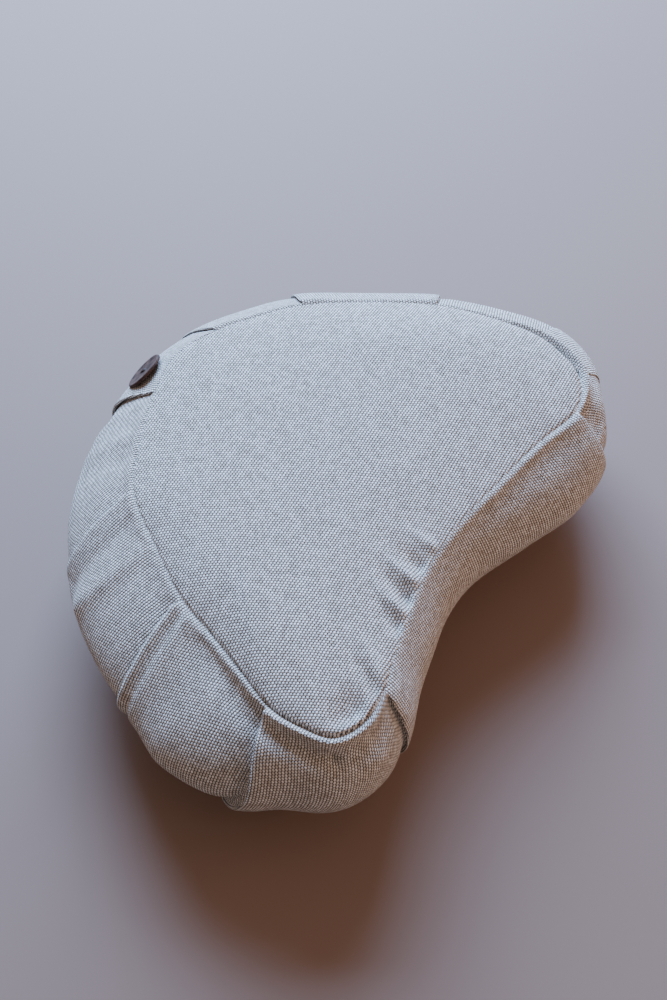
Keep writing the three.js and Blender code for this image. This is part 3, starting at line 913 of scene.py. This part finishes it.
def coconutMaterial():
    material, tree, shader = newMaterial("turnedCoconutShell")
    place = addNode(tree, "ShaderNodeTexCoord").outputs["Object"]
    fibres = addNode(
        tree, "ShaderNodeTexNoise", Vector=place, Scale=coconut["fibreScale"], Detail=4.0, Roughness=0.7
    ).outputs[0]
    clouds = addNode(
        tree, "ShaderNodeTexNoise", Vector=place, Scale=coconut["cloudScale"], Detail=3.0
    ).outputs[0]
    mixed = addNode(tree, "ShaderNodeMath", {"operation": "MULTIPLY"}, in0=fibres, in1=clouds).outputs[0]
    low, high = coconut["paleRange"]
    share = addNode(tree, "ShaderNodeMapRange", Value=mixed, in1=low, in2=high).outputs[0]
    colour = addNode(
        tree, "ShaderNodeMix", {"data_type": "RGBA"}, in0=share, in6=linear(coconut["dark"]),
        in7=linear(coconut["pale"]),
    ).outputs[2]
    tree.links.new(colour, shader.inputs["Base Color"])
    bump = addNode(
        tree, "ShaderNodeBump", Strength=coconut["bumpStrength"], Distance=coconut["bump"] * millimetre,
        Height=fibres,
    ).outputs[0]
    tree.links.new(bump, shader.inputs["Normal"])
    shader.inputs["Roughness"].default_value = coconut["roughness"]
    shader.inputs["Specular IOR Level"].default_value = coconut["shine"]
    return material


# Cotton sewing thread, twisted; dull brown.
thread = {
    "colour": "#5a4a44",
    "shade": "#3a2f2b",
    "twistScale": 3000.0,
    "bump": 0.1,
    "bumpStrength": 0.6,
    "roughness": 0.7,
}


def threadMaterial():
    material, tree, shader = newMaterial("twistedSewingThread")
    place = addNode(tree, "ShaderNodeTexCoord").outputs["Object"]
    twist = addNode(
        tree, "ShaderNodeTexNoise", Vector=place, Scale=thread["twistScale"], Detail=2.0
    ).outputs[0]
    colour = addNode(
        tree, "ShaderNodeMix", {"data_type": "RGBA"}, in0=twist, in6=linear(thread["shade"]),
        in7=linear(thread["colour"]),
    ).outputs[2]
    tree.links.new(colour, shader.inputs["Base Color"])
    bump = addNode(
        tree, "ShaderNodeBump", Strength=thread["bumpStrength"], Distance=thread["bump"] * millimetre,
        Height=twist,
    ).outputs[0]
    tree.links.new(bump, shader.inputs["Normal"])
    shader.inputs["Roughness"].default_value = thread["roughness"]
    return material


linenCloth = linenMaterial()
linenBody.data.materials.append(linenCloth)
linenFlap.data.materials.append(linenCloth)
coconutButton.data.materials.clear()
coconutButton.data.materials.append(coconutMaterial())
sewingThread.data.materials.append(threadMaterial())
print("materials made")

# Floor, light and camera.
stage = {
    "floor": "#7e695d",
    "floorSize": 12,
    "floorRoughness": 0.7,
    "world": "#c6aea3",
    "worldStrength": 0.78,
    "window": {"colour": "#a4c8fa", "power": 330, "size": (1.7, 1.5), "place": (1.5, 1.2, 1.25)},
    "room": {"colour": "#ffc9a8", "power": 20, "size": (2.4, 1.0), "place": (1.1, -1.7, 0.6)},
    "aim": (0, 0, 0.05),  # what both lights face
}

deselectAll()
bpy.ops.mesh.primitive_plane_add(size=stage["floorSize"], location=(0, 0, 0))
floor = bpy.context.object
floor.name = "floor"
floorMaterial, _, floorShader = newMaterial("paleFloor")
floorShader.inputs["Base Color"].default_value = linear(stage["floor"])
floorShader.inputs["Roughness"].default_value = stage["floorRoughness"]
floor.data.materials.append(floorMaterial)

world = bpy.data.worlds.new("softRoom")
bpy.context.scene.world = world
world.use_nodes = True
world.node_tree.nodes["Background"].inputs[0].default_value = linear(stage["world"])
world.node_tree.nodes["Background"].inputs[1].default_value = stage["worldStrength"]


def addLight(name, values):
    lamp = bpy.data.lights.new(name, "AREA")
    lamp.shape = "RECTANGLE"
    lamp.size, lamp.size_y = values["size"]
    lamp.energy = values["power"]
    lamp.color = linear(values["colour"])[:3]
    holder = bpy.data.objects.new(name, lamp)
    bpy.context.scene.collection.objects.link(holder)
    holder.location = values["place"]
    facing = Vector(stage["aim"]) - Vector(values["place"])
    holder.rotation_euler = facing.to_track_quat("-Z", "Y").to_euler()


addLight("windowLight", stage["window"])
addLight("roomLight", stage["room"])

cameraSetup = {
    "place": (-0.57397, -0.37176, 1.0631),
    "turn": (34.386, -0.594, -57.468),
    "lens": 61.79,
    "sensor": 36,
    "near": 0.05,
}
camera = bpy.data.objects.new("camera", bpy.data.cameras.new("camera"))
bpy.context.scene.collection.objects.link(camera)
camera.location = cameraSetup["place"]
camera.rotation_euler = [math.radians(a) for a in cameraSetup["turn"]]
camera.data.lens = cameraSetup["lens"]
camera.data.sensor_width = cameraSetup["sensor"]
camera.data.clip_start = cameraSetup["near"]
bpy.context.scene.camera = camera
print("stage, lights and camera set")

# What stands for what.
for piece, node, slot in (
    (linenBody, "cushion", "linen_cloth"),
    (linenFlap, "closing_flap", "linen_cloth"),
    (coconutButton, "button", "button_shell"),
    (sewingThread, "button_thread", "sewing_thread"),
):
    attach(piece, "root")
    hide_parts(node)
